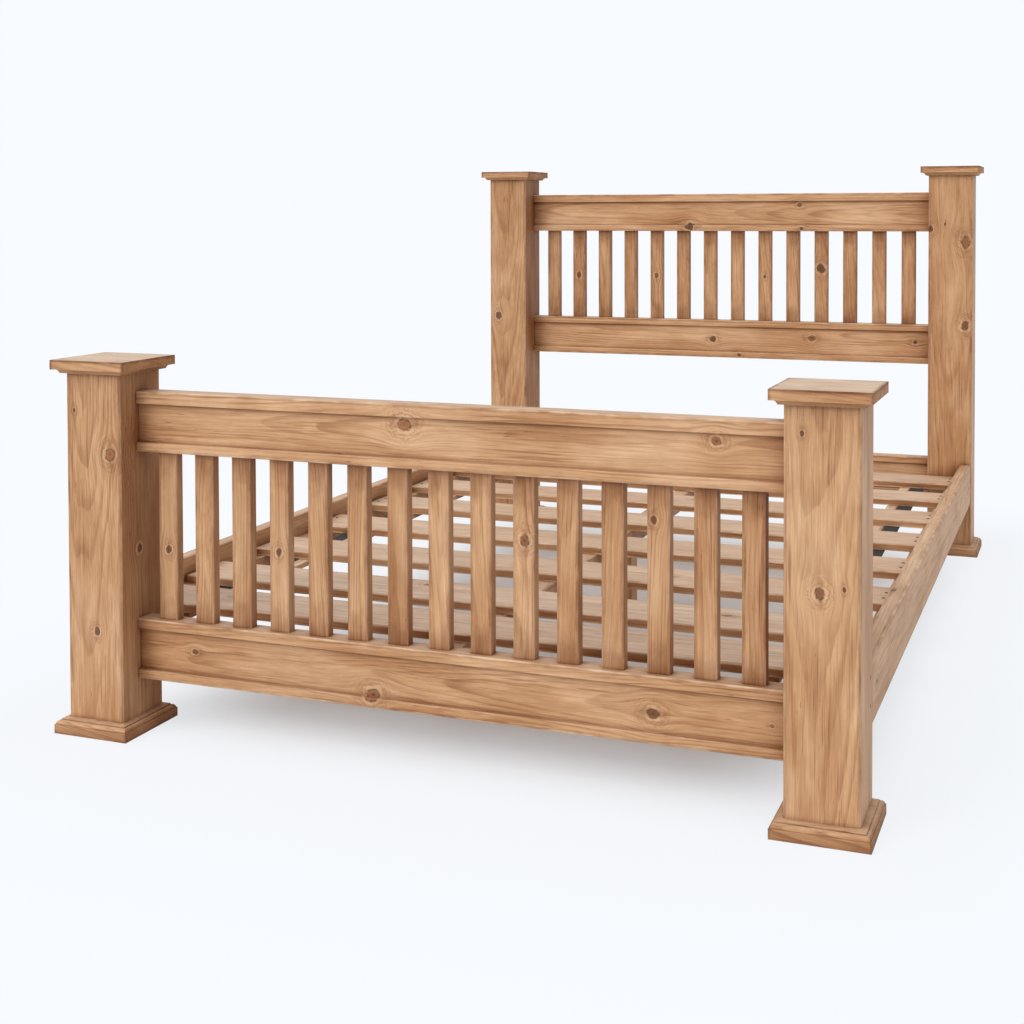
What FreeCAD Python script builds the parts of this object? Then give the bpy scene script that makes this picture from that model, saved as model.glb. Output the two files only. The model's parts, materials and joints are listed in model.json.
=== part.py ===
import FreeCAD, Part
import os

import Sketcher

# A pine spindle bed: four square posts, a low footboard and a tall headboard of moulded rails and
# flat spindles, side rails that hook on to the posts, and slats on bearers and a centre rail.
# Millimetres. X runs across the bed (left is -X seen from the foot), Y from foot to head, Z up,
# with the floor at Z = 0 and the origin under the middle of the bed.

DIMENSIONS = [
    ("post_span", 1590, "outer width over the posts"),
    ("post_pitch", 2160, "foot post centre to head post centre"),
    ("post_side", 130, "square post section"),
    ("post_arris", 3, "chamfer on the long edges of a post"),
    ("foot_height", 755, "top of the foot caps"),
    ("head_height", 1188, "top of the head caps"),
    ("cap_overhang", 22, "cap beyond the post on each side"),
    ("cap_slab", 19, "square edge of the cap"),
    ("cap_step", 6, "flat step under the slab"),
    ("cap_cove_run", 7, "cove inwards"),
    ("cap_cove_drop", 8, "cove downwards"),
    ("cap_cove_centre", 2.8, "centre of the cove's curve beyond its outer edge"),
    ("cap_dowel_radius", 10, "dowel between cap and post"),
    ("cap_dowel_in_cap", 16, "dowel depth in the cap"),
    ("cap_dowel_in_post", 30, "dowel depth in the post"),
    ("plinth_overhang", 21, "plinth beyond the post"),
    ("plinth_edge", 18, "square edge of the plinth"),
    ("plinth_round", 8, "radius of the quarter round above that edge"),
    ("plinth_lip", 2, "flat between the edge and the quarter round"),
    ("plinth_quirk", 2, "small step above the quarter round"),
    ("plinth_height", 31, "top of the plinth against the post"),
    ("rail_height", 122, "cross rails of both boards"),
    ("rail_thickness", 44, "over the raised bands"),
    ("rail_arris", 2, "chamfer on the edges of the raised bands"),
    ("band_recess", 9, "depth of the sunk field between the bands"),
    ("band_low", 19, "lower raised band"),
    ("band_top", 25, "upper band of the two top rails"),
    ("band_mid", 20, "upper band of the other rails"),
    ("foot_low_rail_z", 107, "underside of the footboard's bottom rail"),
    ("foot_rail_drop", 65, "top of the footboard's top rail below the top of the caps"),
    ("head_low_rail_z", 159, "underside of the cross rail at mattress level"),
    ("head_mid_rail_z", 574, "underside of the headboard's middle rail"),
    ("head_rail_drop", 78, "top of the headboard's top rail below the top of the caps"),
    ("foot_setback", 50, "rail face behind the front of a foot post"),
    ("head_setback", 70, "rail face behind the front of a head post"),
    ("tenon_length", 45, "rail tenon into the post"),
    ("tenon_thickness", 18, "rail tenon"),
    ("tenon_shoulder", 16, "shoulder above and below the rail tenon"),
    ("fit_gap", 0.3, "play on each side of a tenon, plate or notch"),
    ("end_gap", 1, "room left at the bottom of a mortise"),
    ("spindle_width", 43, "flat spindle, across the board"),
    ("spindle_thickness", 22, "flat spindle, front to back"),
    ("spindle_arris", 1.5, "chamfer on the long edges of a spindle"),
    ("spindle_setback", 14, "spindle behind the face of the rail"),
    ("foot_spindles", 15, "spindles in the footboard"),
    ("head_spindles", 14, "spindles in the headboard"),
    ("stub_length", 14, "spindle tenon into the rail"),
    ("stub_shoulder", 5, "shoulder each side of the spindle tenon"),
    ("side_rail_top", 277, "top edge of the side rails"),
    ("side_rail_height", 120, "side rail"),
    ("side_rail_thickness", 32, "side rail"),
    ("side_rail_inset", 2, "side rail behind the outer face of the posts"),
    ("side_rail_arris", 2, "chamfer on the long edges of a side rail"),
    ("slat_drop", 37, "slat tops below the top of the side rails"),
    ("slat_width", 140, "slat, along the bed"),
    ("slat_thickness", 17, "slat"),
    ("slat_arris", 2, "chamfer on the upper edges of a slat"),
    ("slat_side_gap", 8, "slat end to side rail"),
    ("slat_post_gap", 5, "first and last slat to the posts"),
    ("slat_first_gap", 70, "gap after the first slat at the foot"),
    ("slat_count", 8, "slats"),
    ("bearer_width", 32, "bearer that carries the slat ends"),
    ("bearer_height", 32, "bearer"),
    ("bearer_end_gap", 10, "bearer end to post"),
    ("centre_width", 44, "centre rail, across"),
    ("centre_end_gap", 1, "centre rail end to its shoe"),
    ("shoe_plate", 2.5, "steel of the centre rail shoes"),
    ("shoe_depth", 35, "shoe, out from the rail"),
    ("shoe_flange", 16, "flange each side of the shoe"),
    ("shoe_height", 38, "shoe"),
    ("shoe_clear", 0.5, "shoe above the lower band of the head rail"),
    ("leg_width", 84, "centre leg, across"),
    ("leg_depth", 44, "centre leg, along"),
    ("leg_bridle", 24, "centre rail let into the leg"),
    ("tape_width", 38, "webbing tape under the slats"),
    ("tape_thickness", 1.5, "webbing tape"),
    ("tape_inset", 101, "tape centre from the slat ends"),
    ("batten_width", 28, "batten beside the tape"),
    ("batten_height", 12, "batten beside the tape"),
    ("batten_inset", 137, "batten centre from the slat ends"),
    ("plate_thickness", 3, "hook plate"),
    ("plate_height", 93, "hook plate"),
    ("plate_bury", 88, "hook plate let into the rail end"),
    ("plate_rise", 18, "hook plate above the underside of the rail"),
    ("hook_first", 19.5, "lower hook nose above the bottom of the plate"),
    ("hook_pitch", 49, "hook to hook"),
    ("hook_height", 22, "hook, nose to top"),
    ("hook_throat", 11, "hook throat above the nose"),
    ("hook_mouth", 30, "inner face of the nose from the rail end"),
    ("hook_reach", 42, "hook out of the rail end"),
    ("hook_lift", 11.5, "lift that frees the hooks"),
    ("pin_radius", 3.5, "steel pin across the post that a hook catches"),
    ("pin_length", 44, "that pin"),
    ("plate_pin_radius", 3, "pin through the rail end and plate"),
    ("plate_pin_inset", 64, "that pin from the rail end"),
    ("plate_pin_rise", 42, "that pin above the bottom of the plate"),
]


class Size:
    """A length that knows its present value and the sheet expression it comes from."""

    def __init__(self, value, text):
        self.value = value
        self.text = text

    def _join(self, other, sign, value):
        if isinstance(other, Size):
            return Size(value, "(%s %s %s)" % (self.text, sign, other.text))
        return Size(value, "(%s %s %s)" % (self.text, sign, repr(float(other))))

    def __add__(self, other):
        return self._join(other, "+", self.value + number(other))

    def __sub__(self, other):
        return self._join(other, "-", self.value - number(other))

    def __mul__(self, other):
        return self._join(other, "*", self.value * number(other))

    def __truediv__(self, other):
        return self._join(other, "/", self.value / number(other))

    def __neg__(self):
        return Size(-self.value, "(0 - %s)" % self.text)


def number(size):
    return size.value if isinstance(size, Size) else float(size)


def text_of(size):
    return size.text if isinstance(size, Size) else repr(float(size))


doc = FreeCAD.newDocument("SpindleBed")
sheet = doc.addObject("Spreadsheet::Sheet", "Sizes")
S = {}
for row, (alias, value, note) in enumerate(DIMENSIONS, start=1):
    sheet.set("A%d" % row, alias)
    sheet.set("B%d" % row, str(value))
    sheet.set("C%d" % row, note)
    sheet.setAlias("B%d" % row, alias)
    S[alias] = Size(float(value), "Sizes.%s" % alias)
doc.recompute()

ZERO = Size(0.0, "0")
LEFT, RIGHT = -1, 1
FOOT, HEAD = -1, 1
SIDE_NAMES = {LEFT: "left", RIGHT: "right"}
END_NAMES = {FOOT: "foot", HEAD: "head"}
nodes = []


# ---------------------------------------------------------------- small modelling helpers

def bind(thing, prop, size):
    """Set a property from a Size and tie it to the sheet."""
    if isinstance(size, Size):
        thing.setExpression(prop, size.text)
    else:
        setattr(thing, prop, size)


def turned(degrees):
    """A turn about the vertical."""
    return FreeCAD.Rotation(FreeCAD.Vector(0, 0, 1), degrees)


def along(x, y, z):
    """The turn that brings an object's own Z on to the given axis."""
    return FreeCAD.Rotation(FreeCAD.Vector(0, 0, 1), FreeCAD.Vector(x, y, z))


UPRIGHT = turned(0)
DOWN = along(0, 0, -1)


def place(thing, spot, turn=UPRIGHT):
    """Put an object at a spot (three Sizes or numbers) with a turn."""
    base = FreeCAD.Vector(*[number(size) for size in spot])
    thing.Placement = FreeCAD.Placement(base, turn)
    for axis, size in zip("xyz", spot):
        if isinstance(size, Size):
            thing.setExpression("Placement.Base.%s" % axis, size.text)


def new_body(name):
    body = doc.addObject("PartDesign::Body", name)
    body.Label = name
    return body


def keep(thing):
    """Make an object one of the bed's nodes."""
    nodes.append(thing)
    return thing


def origin_part(body, role):
    return [part for part in body.Origin.OriginFeatures if part.Role == role][0]


def outline(body, name, plane, points, arcs=()):
    """A closed sketch through points (Size pairs); arcs maps an edge number to its centre's Sizes."""
    arcs = dict(arcs)
    sketch = body.newObject("Sketcher::SketchObject", name)
    sketch.AttachmentSupport = [(origin_part(body, plane), "")]
    sketch.MapMode = "FlatFace"
    flat = [FreeCAD.Vector(number(x), number(y), 0) for x, y in points]
    count = len(flat)
    start_point = {}
    for edge in range(count):
        start, end = flat[edge], flat[(edge + 1) % count]
        if edge in arcs:
            centre = FreeCAD.Vector(number(arcs[edge][0]), number(arcs[edge][1]), 0)
            radius = (start - centre).Length
            middle = centre + ((start + end) / 2 - centre).normalize() * radius
            sketch.addGeometry(Part.Arc(start, middle, end), False)
            # A sketch arc always runs anticlockwise, so its first point may be the edge's end.
            begins_here = (start - centre).cross(end - centre).z > 0
            start_point[edge] = (1, 2) if begins_here else (2, 1)
        else:
            sketch.addGeometry(Part.LineSegment(start, end), False)
            start_point[edge] = (1, 2)
    for edge in range(count):
        following = (edge + 1) % count
        sketch.addConstraint(Sketcher.Constraint(
            "Coincident", edge, start_point[edge][1], following, start_point[following][0]))
    for edge, (x, y) in enumerate(points):
        pin_point(sketch, edge, start_point[edge][0], x, y)
    for edge, (x, y) in arcs.items():
        # With both ends set, one measure of the centre fixes the arc.
        index = sketch.addConstraint(Sketcher.Constraint("DistanceX", -1, 1, edge, 3, number(x)))
        sketch.setExpression("Constraints[%d]" % index, text_of(x))
    return sketch


def pin_point(sketch, edge, end, x, y):
    """Fix one sketch point at the Sizes x and y from the sketch's origin."""
    for size, kind, axis in ((x, "DistanceX", -2), (y, "DistanceY", -1)):
        if number(size) == 0 and text_of(size) in ("0", "0.0"):
            sketch.addConstraint(Sketcher.Constraint("PointOnObject", edge, end, axis))
        else:
            index = sketch.addConstraint(Sketcher.Constraint(kind, -1, 1, edge, end, number(size)))
            sketch.setExpression("Constraints[%d]" % index, text_of(size))


def eased(x0, y0, x1, y1, ease, corners=(True, True, True, True)):
    """Corners of a rectangle, anticlockwise from x0, y0, with the chosen corners chamfered."""
    shapes = [
        [(x0, y0 + ease), (x0 + ease, y0)],
        [(x1 - ease, y0), (x1, y0 + ease)],
        [(x1, y1 - ease), (x1 - ease, y1)],
        [(x0 + ease, y1), (x0, y1 - ease)],
    ]
    plain = [(x0, y0), (x1, y0), (x1, y1), (x0, y1)]
    points = []
    for shape, corner, wanted in zip(shapes, plain, corners):
        points.extend(shape if wanted else [corner])
    return points


def pad(body, name, sketch, length):
    feature = body.newObject("PartDesign::Pad", name)
    feature.Profile = sketch
    bind(feature, "Length", length)
    sketch.Visibility = False
    return feature


def box(body, name, corner, size, cut=True):
    """Add or cut a box, given its lowest corner and its sizes along X, Y and Z."""
    kind = "PartDesign::SubtractiveBox" if cut else "PartDesign::AdditiveBox"
    feature = body.newObject(kind, name)
    for prop, measure in zip(("Length", "Width", "Height"), size):
        bind(feature, prop, measure)
    place(feature, corner)
    return feature


def bore(body, name, start, turn, radius, depth):
    """Cut a round hole from start; the turn brings Z on to the hole's way in."""
    feature = body.newObject("PartDesign::SubtractiveCylinder", name)
    bind(feature, "Radius", radius)
    bind(feature, "Height", depth)
    place(feature, start, turn)
    return feature


def repeat(body, name, feature, role, spacing, count):
    """Repeat a feature along one of the body's axes."""
    pattern = body.newObject("PartDesign::LinearPattern", name)
    pattern.Originals = [feature]
    pattern.Direction = (origin_part(body, role), [""])
    bind(pattern, "Length", spacing * (count.value - 1))
    bind(pattern, "Occurrences", count)
    body.Tip = pattern
    return pattern


def pocket(body, name, sketch, length):
    """Cut a sketch right through, half of the length each way."""
    feature = body.newObject("PartDesign::Pocket", name)
    feature.Profile = sketch
    feature.Midplane = True
    bind(feature, "Length", length)
    sketch.Visibility = False
    return feature


def group(name, template, spots):
    """Several equal solids: links to one template body, each with its own spot and turn."""
    links = []
    for index, (spot, turn) in enumerate(spots, start=1):
        link = doc.addObject("App::Link", "%s_%02d" % (name, index))
        link.LinkedObject = template
        place(link, spot, turn)
        links.append(link)
    compound = doc.addObject("Part::Compound", name)
    compound.Label = name
    compound.Links = links
    return compound


# ---------------------------------------------------------------- places shared by the pieces

half_post = S["post_side"] / 2
post_x = (S["post_span"] - S["post_side"]) / 2
post_y = S["post_pitch"] / 2
inner_width = S["post_span"] - S["post_side"] * 2
inner_length = S["post_pitch"] - S["post_side"]
cap_height = S["cap_slab"] + S["cap_cove_drop"]
board_y = {FOOT: -post_y - half_post + S["foot_setback"],
           HEAD: post_y - half_post + S["head_setback"]}
setback = {FOOT: S["foot_setback"], HEAD: S["head_setback"]}
post_top = {FOOT: S["foot_height"] - cap_height, HEAD: S["head_height"] - cap_height}

tenon_y = S["band_recess"] + (S["rail_thickness"] - S["band_recess"] - S["tenon_thickness"]) / 2
tenon_height = S["rail_height"] - S["tenon_shoulder"] * 2

side_outer = S["post_span"] / 2 - S["side_rail_inset"]
side_inner = side_outer - S["side_rail_thickness"]
side_z = S["side_rail_top"] - S["side_rail_height"]
side_middle = side_outer - S["side_rail_thickness"] / 2
slat_top = S["side_rail_top"] - S["slat_drop"]
slat_under = slat_top - S["slat_thickness"]
slat_half = side_inner - S["slat_side_gap"]
bearer_z = slat_under - S["bearer_height"]

slat_start = -inner_length / 2 + S["slat_post_gap"]
slat_second = slat_start + S["slat_width"] + S["slat_first_gap"]
slat_last = inner_length / 2 - S["slat_post_gap"] - S["slat_width"]
slat_step = (slat_last - slat_second) / (S["slat_count"] - 2)
slat_count = int(S["slat_count"].value)
slat_fronts = [slat_start] + [slat_second + slat_step * k for k in range(slat_count - 1)]

plate_z = side_z + S["plate_rise"]
hook_pin_depth = S["hook_mouth"] - S["pin_radius"] - S["fit_gap"]
centre_z = S["head_low_rail_z"] + S["band_low"] + S["shoe_clear"] + S["shoe_plate"]
foot_rail_back = board_y[FOOT] + S["rail_thickness"]
head_field = board_y[HEAD] + S["band_recess"]

foot_top_rail_z = S["foot_height"] - S["foot_rail_drop"] - S["rail_height"]
head_top_rail_z = S["head_height"] - S["head_rail_drop"] - S["rail_height"]
BOARD_RAILS = [
    ("foot_top_rail", FOOT, foot_top_rail_z, S["band_top"]),
    ("foot_bottom_rail", FOOT, S["foot_low_rail_z"], S["band_mid"]),
    ("head_top_rail", HEAD, head_top_rail_z, S["band_top"]),
    ("head_middle_rail", HEAD, S["head_mid_rail_z"], S["band_mid"]),
    ("head_lower_rail", HEAD, S["head_low_rail_z"], S["band_mid"]),
]
SPINDLES = {FOOT: S["foot_spindles"], HEAD: S["head_spindles"]}


def spindle_gap(end):
    """The clear gap between spindles, and between the outer spindles and the posts."""
    count = SPINDLES[end]
    return (inner_width - S["spindle_width"] * count) / (count + 1)


# ---------------------------------------------------------------- posts, caps and plinths

def make_post(side, end):
    name = "post_%s_%s" % (END_NAMES[end], SIDE_NAMES[side])
    body = keep(new_body(name))
    place(body, (post_x * side, post_y * end, ZERO))
    square = outline(body, name + "_section", "XY_Plane",
                     eased(-half_post, -half_post, half_post, half_post, S["post_arris"]))
    pad(body, name + "_shaft", square, post_top[end])

    # Mortises for the cross rails open in the inner face.
    depth = S["tenon_length"] + S["end_gap"]
    corner_x = half_post - depth if side == LEFT else -half_post
    corner_y = -half_post + setback[end] + tenon_y - S["fit_gap"]
    for rail, rail_end, level, _ in BOARD_RAILS:
        if rail_end == end:
            box(body, "%s_mortise_%s" % (name, rail),
                (corner_x, corner_y, level + S["tenon_shoulder"] - S["fit_gap"]),
                (depth, S["tenon_thickness"] + S["fit_gap"] * 2, tenon_height + S["fit_gap"] * 2))

    # Hook slots open towards the other end of the bed, each crossed by a steel pin.
    slot_depth = S["hook_reach"] + S["end_gap"] * 2
    slot_width = S["plate_thickness"] + S["fit_gap"] * 2
    slot_y = half_post - slot_depth if end == FOOT else -half_post
    slot_x = (side_middle - post_x) * side - slot_width / 2
    for hook in range(2):
        nose_z = plate_z + S["hook_first"] + S["hook_pitch"] * hook
        box(body, "%s_slot_%d" % (name, hook + 1),
            (slot_x, slot_y, nose_z - S["end_gap"]),
            (slot_width, slot_depth, S["hook_height"] + S["hook_lift"] + S["end_gap"]))
        bore(body, "%s_pin_hole_%d" % (name, hook + 1),
             (half_post * side, (half_post - hook_pin_depth) * -end, hook_pin_z(hook)),
             along(-side, 0, 0), S["pin_radius"], S["pin_length"])

    # The cap's dowel.
    bore(body, name + "_dowel_hole", (0, 0, post_top[end]), DOWN,
         S["cap_dowel_radius"], S["cap_dowel_in_post"] + S["end_gap"])
    return body


def hook_pin_z(hook):
    """Height of the pin that hook number 0 or 1 rests on, just under the hook's throat."""
    return plate_z + S["hook_first"] + S["hook_pitch"] * hook + S["hook_throat"] - S["pin_radius"]


def make_cap(side, end):
    """A slab with a step and a cove under it, moulded alike on all four sides."""
    name = "cap_%s_%s" % (END_NAMES[end], SIDE_NAMES[side])
    body = keep(new_body(name))
    place(body, (post_x * side, post_y * end, post_top[end]))
    reach = half_post + S["cap_overhang"]
    step = reach - S["cap_step"]
    foot = step - S["cap_cove_run"]
    drop = S["cap_cove_drop"]
    # The cove's centre lies outside and below, so the curve is hollow.
    profile = [(-foot, ZERO), (foot, ZERO), (step, drop), (reach, drop), (reach, cap_height),
               (-reach, cap_height), (-reach, drop), (-step, drop)]
    centre = step + S["cap_cove_centre"]
    coves = cove_centres(profile, {1: centre, 7: -centre})
    section = outline(body, name + "_section", "YZ_Plane", profile, coves)
    slab = pad(body, name + "_slab", section, reach * 2)
    slab.Midplane = True

    # The same moulding, cut across the two remaining sides.
    for way, sign in (("right", 1), ("left", -1)):
        edge = reach + S["end_gap"]
        waste = [(foot * sign, ZERO), (step * sign, drop), (edge * sign, drop),
                 (edge * sign, -S["end_gap"]), (foot * sign, -S["end_gap"])]
        cove = cove_centres(waste, {0: centre * sign})
        sketch = outline(body, "%s_waste_%s" % (name, way), "XZ_Plane", waste, cove)
        pocket(body, "%s_cut_%s" % (name, way), sketch, reach * 4)
    bore(body, name + "_dowel_hole", (0, 0, 0), UPRIGHT,
         S["cap_dowel_radius"], S["cap_dowel_in_cap"] + S["end_gap"])
    return body


def cove_centres(points, wanted):
    """The centre of each curved edge, from the X it is wanted at: it is as far from both ends."""
    centres = {}
    for edge, x in wanted.items():
        (x0, y0), (x1, y1) = points[edge], points[(edge + 1) % len(points)]
        middle_x, middle_y = (x0 + x1) / 2, (y0 + y1) / 2
        slope = (x1 - x0) / (y1 - y0)
        centres[edge] = (x, middle_y - (x - middle_x) * slope)
    return centres


def make_plinth_strip():
    """One mitred moulding of a plinth: it lies along X, its back on the front face of a post."""
    body = new_body("plinth_strip")
    out = S["plinth_overhang"]
    lip = out - S["plinth_lip"]
    neck = lip - S["plinth_round"]
    shoulder = S["plinth_edge"] + S["plinth_round"]
    profile = [(ZERO, ZERO), (ZERO, S["plinth_height"]), (-neck, shoulder + S["plinth_quirk"]),
               (-neck, shoulder), (-lip, S["plinth_edge"]), (-out, S["plinth_edge"]), (-out, ZERO)]
    section = outline(body, "plinth_section", "YZ_Plane", profile, {3: (-neck, S["plinth_edge"])})
    length = half_post + out
    strip = pad(body, "plinth_length", section, length * 2)
    strip.Midplane = True
    for way, sign in (("right", 1), ("left", -1)):
        edge = length + S["end_gap"]
        corner = [(half_post * sign, ZERO), (edge * sign, -edge + half_post),
                  (edge * sign, S["end_gap"]), (half_post * sign, S["end_gap"])]
        sketch = outline(body, "plinth_mitre_" + way, "XY_Plane", corner)
        pocket(body, "plinth_mitre_cut_" + way, sketch, S["plinth_height"] * 3)
    return body


def make_plinth(side, end, strip):
    """Four mitred strips round the foot of a post."""
    name = "plinth_%s_%s" % (END_NAMES[end], SIDE_NAMES[side])
    faces = {0: (0, -1), 90: (1, 0), 180: (0, 1), 270: (-1, 0)}
    return keep(group(name, strip, [
        ((post_x * side + half_post * dx, post_y * end + half_post * dy, ZERO), turned(angle))
        for angle, (dx, dy) in faces.items()]))


def make_cap_dowel():
    body = make_pin("cap_dowel", S["cap_dowel_radius"],
                    S["cap_dowel_in_post"] + S["cap_dowel_in_cap"])
    place(body.Group[0], (0, 0, -S["cap_dowel_in_post"]))
    return body


def make_pin(name, radius, length):
    """A plain round pin or dowel along its own Z from its origin."""
    body = new_body(name)
    rod = body.newObject("PartDesign::AdditiveCylinder", name + "_rod")
    bind(rod, "Radius", radius)
    bind(rod, "Height", length)
    return body


# ---------------------------------------------------------------- footboard and headboard

def rail_profile(band_up):
    """A cross rail's section: two raised bands with a sunk field between, plain at the back."""
    deep, ease, recess = S["rail_thickness"], S["rail_arris"], S["band_recess"]
    high = S["rail_height"]
    return [
        (ease, ZERO), (deep - ease, ZERO), (deep, ease), (deep, high - ease), (deep - ease, high),
        (ease, high), (ZERO, high - ease), (ZERO, high - band_up), (recess, high - band_up),
        (recess, S["band_low"]), (ZERO + ease, S["band_low"]), (ZERO, S["band_low"] - ease),
        (ZERO, ease),
    ]


def make_board_rail(name, end, level, band_up, seats):
    """seats lists the edges, top or bottom, that hold spindles."""
    body = keep(new_body(name))
    place(body, (-inner_width / 2, board_y[end], level))
    section = outline(body, name + "_section", "YZ_Plane", rail_profile(band_up))
    pad(body, name + "_length", section, inner_width)
    box(body, name + "_tenons", (-S["tenon_length"], tenon_y, S["tenon_shoulder"]),
        (inner_width + S["tenon_length"] * 2, S["tenon_thickness"], tenon_height), cut=False)
    depth = S["stub_length"] + S["end_gap"]
    stub_width = S["spindle_width"] - S["stub_shoulder"] * 2
    stub_thickness = S["spindle_thickness"] - S["stub_shoulder"] * 2
    for seat in seats:
        floor = S["rail_height"] - depth if seat == "top" else ZERO
        first = spindle_gap(end) + S["stub_shoulder"] - S["fit_gap"]
        mortise = box(body, "%s_%s_mortise" % (name, seat),
                      (first, S["spindle_setback"] + S["stub_shoulder"] - S["fit_gap"], floor),
                      (stub_width + S["fit_gap"] * 2, stub_thickness + S["fit_gap"] * 2, depth))
        repeat(body, "%s_%s_mortises" % (name, seat), mortise, "X_Axis",
               spindle_gap(end) + S["spindle_width"], SPINDLES[end])
    return body


def make_spindle(name, end):
    """A flat bar with a short tenon at each end; its own origin is at the foot of the bar."""
    low, high = {FOOT: (S["foot_low_rail_z"], foot_top_rail_z),
                 HEAD: (S["head_mid_rail_z"], head_top_rail_z)}[end]
    clear = high - low - S["rail_height"]
    body = new_body(name)
    section = outline(body, name + "_section", "XY_Plane",
                      eased(ZERO, ZERO, S["spindle_width"], S["spindle_thickness"],
                            S["spindle_arris"]))
    pad(body, name + "_bar", section, clear)
    shoulder = S["stub_shoulder"]
    box(body, name + "_stubs", (shoulder, shoulder, -S["stub_length"]),
        (S["spindle_width"] - shoulder * 2, S["spindle_thickness"] - shoulder * 2,
         clear + S["stub_length"] * 2), cut=False)
    return body


def spindle_spot(end, index):
    level = S["foot_low_rail_z"] if end == FOOT else S["head_mid_rail_z"]
    x = -inner_width / 2 + spindle_gap(end) + (spindle_gap(end) + S["spindle_width"]) * index
    return (x, board_y[end] + S["spindle_setback"], level + S["rail_height"])


# ---------------------------------------------------------------- side rails and their hooks

def make_side_rail(side):
    name = "side_rail_" + SIDE_NAMES[side]
    body = keep(new_body(name))
    place(body, (side_middle * side, -inner_length / 2, side_z))
    half = S["side_rail_thickness"] / 2
    section = outline(body, name + "_section", "XZ_Plane",
                      eased(-half, ZERO, half, S["side_rail_height"], S["side_rail_arris"]))
    board = pad(body, name + "_length", section, inner_length)
    board.Reversed = True
    depth = S["plate_bury"] + S["end_gap"]
    width = S["plate_thickness"] + S["fit_gap"] * 2
    for end in (FOOT, HEAD):
        start = ZERO if end == FOOT else inner_length - depth
        box(body, "%s_kerf_%s" % (name, END_NAMES[end]),
            (-width / 2, start, S["plate_rise"] - S["fit_gap"]),
            (width, depth, S["plate_height"] + S["fit_gap"] * 2))
        y = S["plate_pin_inset"] if end == FOOT else inner_length - S["plate_pin_inset"]
        bore(body, "%s_pin_hole_%s" % (name, END_NAMES[end]),
             (half * side, y, S["plate_rise"] + S["plate_pin_rise"]), along(-side, 0, 0),
             S["plate_pin_radius"], S["side_rail_thickness"])
    return body


def make_hook_plate():
    """A steel plate with two hooks. Its own Y = 0 is the rail's end, and the hooks point to +Y."""
    body = new_body("hook_plate")
    throat, nose, reach = S["hook_throat"], S["hook_mouth"], S["hook_reach"]
    points = [(ZERO, ZERO)]
    for hook in range(2):
        low = S["hook_first"] + S["hook_pitch"] * hook
        points += [(ZERO, low + throat), (nose, low + throat), (nose, low), (reach, low),
                   (reach, low + S["hook_height"]), (ZERO, low + S["hook_height"])]
    points += [(ZERO, S["plate_height"]), (-S["plate_bury"], S["plate_height"]),
               (-S["plate_bury"], ZERO)]
    section = outline(body, "hook_plate_outline", "YZ_Plane", points)
    sheet_metal = pad(body, "hook_plate_sheet", section, S["plate_thickness"])
    sheet_metal.Midplane = True
    bore(body, "hook_plate_hole",
         (-S["plate_thickness"], -S["plate_pin_inset"], S["plate_pin_rise"]),
         along(1, 0, 0), S["plate_pin_radius"], S["plate_thickness"] * 2)
    return body


def make_hook_fittings():
    ends = [(side, end) for side in (LEFT, RIGHT) for end in (FOOT, HEAD)]
    keep(group("hook_plates", make_hook_plate(), [
        ((side_middle * side, inner_length / 2 * end, plate_z), turned(90 - 90 * end))
        for side, end in ends]))
    hook_pin = make_pin("hook_pin", S["pin_radius"], S["pin_length"])
    keep(group("hook_pins", hook_pin, [
        ((S["post_span"] / 2 * side, (inner_length / 2 + hook_pin_depth) * end,
          hook_pin_z(hook)), along(-side, 0, 0))
        for side, end in ends for hook in range(2)]))
    plate_pin = make_pin("plate_pin", S["plate_pin_radius"], S["side_rail_thickness"])
    keep(group("plate_pins", plate_pin, [
        ((side_outer * side, (inner_length / 2 - S["plate_pin_inset"]) * end,
          plate_z + S["plate_pin_rise"]), along(-side, 0, 0))
        for side, end in ends]))


# ---------------------------------------------------------------- slats and what carries them

def make_bearer(side):
    name = "bearer_" + SIDE_NAMES[side]
    body = keep(new_body(name))
    x = side_inner - S["bearer_width"] if side == RIGHT else -side_inner
    place(body, (x, -inner_length / 2 + S["bearer_end_gap"], bearer_z))
    length = inner_length - S["bearer_end_gap"] * 2
    section = outline(body, name + "_section", "XZ_Plane",
                      eased(ZERO, ZERO, S["bearer_width"], S["bearer_height"], S["rail_arris"]))
    batten = pad(body, name + "_length", section, length)
    batten.Reversed = True
    return body


def make_slat(index):
    name = "slat_%d" % (index + 1)
    body = keep(new_body(name))
    place(body, (-slat_half, slat_fronts[index], slat_under))
    section = outline(body, name + "_section", "YZ_Plane",
                      eased(ZERO, ZERO, S["slat_width"], S["slat_thickness"], S["slat_arris"],
                            (False, False, True, True)))
    pad(body, name + "_length", section, slat_half * 2)
    return body


def make_centre_rail():
    body = keep(new_body("centre_rail"))
    start = foot_rail_back + S["shoe_plate"] + S["centre_end_gap"]
    finish = head_field - S["shoe_plate"] - S["centre_end_gap"]
    place(body, (ZERO, start, centre_z))
    half = S["centre_width"] / 2
    section = outline(body, "centre_rail_section", "XZ_Plane",
                      eased(-half, ZERO, half, slat_under - centre_z, S["rail_arris"]))
    beam = pad(body, "centre_rail_length", section, finish - start)
    beam.Reversed = True
    return body


def make_centre_leg():
    """A leg with a bridle notch that the centre rail drops into."""
    body = keep(new_body("centre_leg"))
    half, deep = S["leg_width"] / 2, S["leg_depth"] / 2
    section = outline(body, "centre_leg_section", "XY_Plane",
                      eased(-half, -deep, half, deep, S["rail_arris"]))
    pad(body, "centre_leg_length", section, centre_z + S["leg_bridle"])
    notch = S["centre_width"] + S["fit_gap"] * 2
    box(body, "centre_leg_notch", (-notch / 2, -deep - S["end_gap"], centre_z),
        (notch, S["leg_depth"] + S["end_gap"] * 2, S["leg_bridle"] + S["end_gap"]))
    return body


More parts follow.
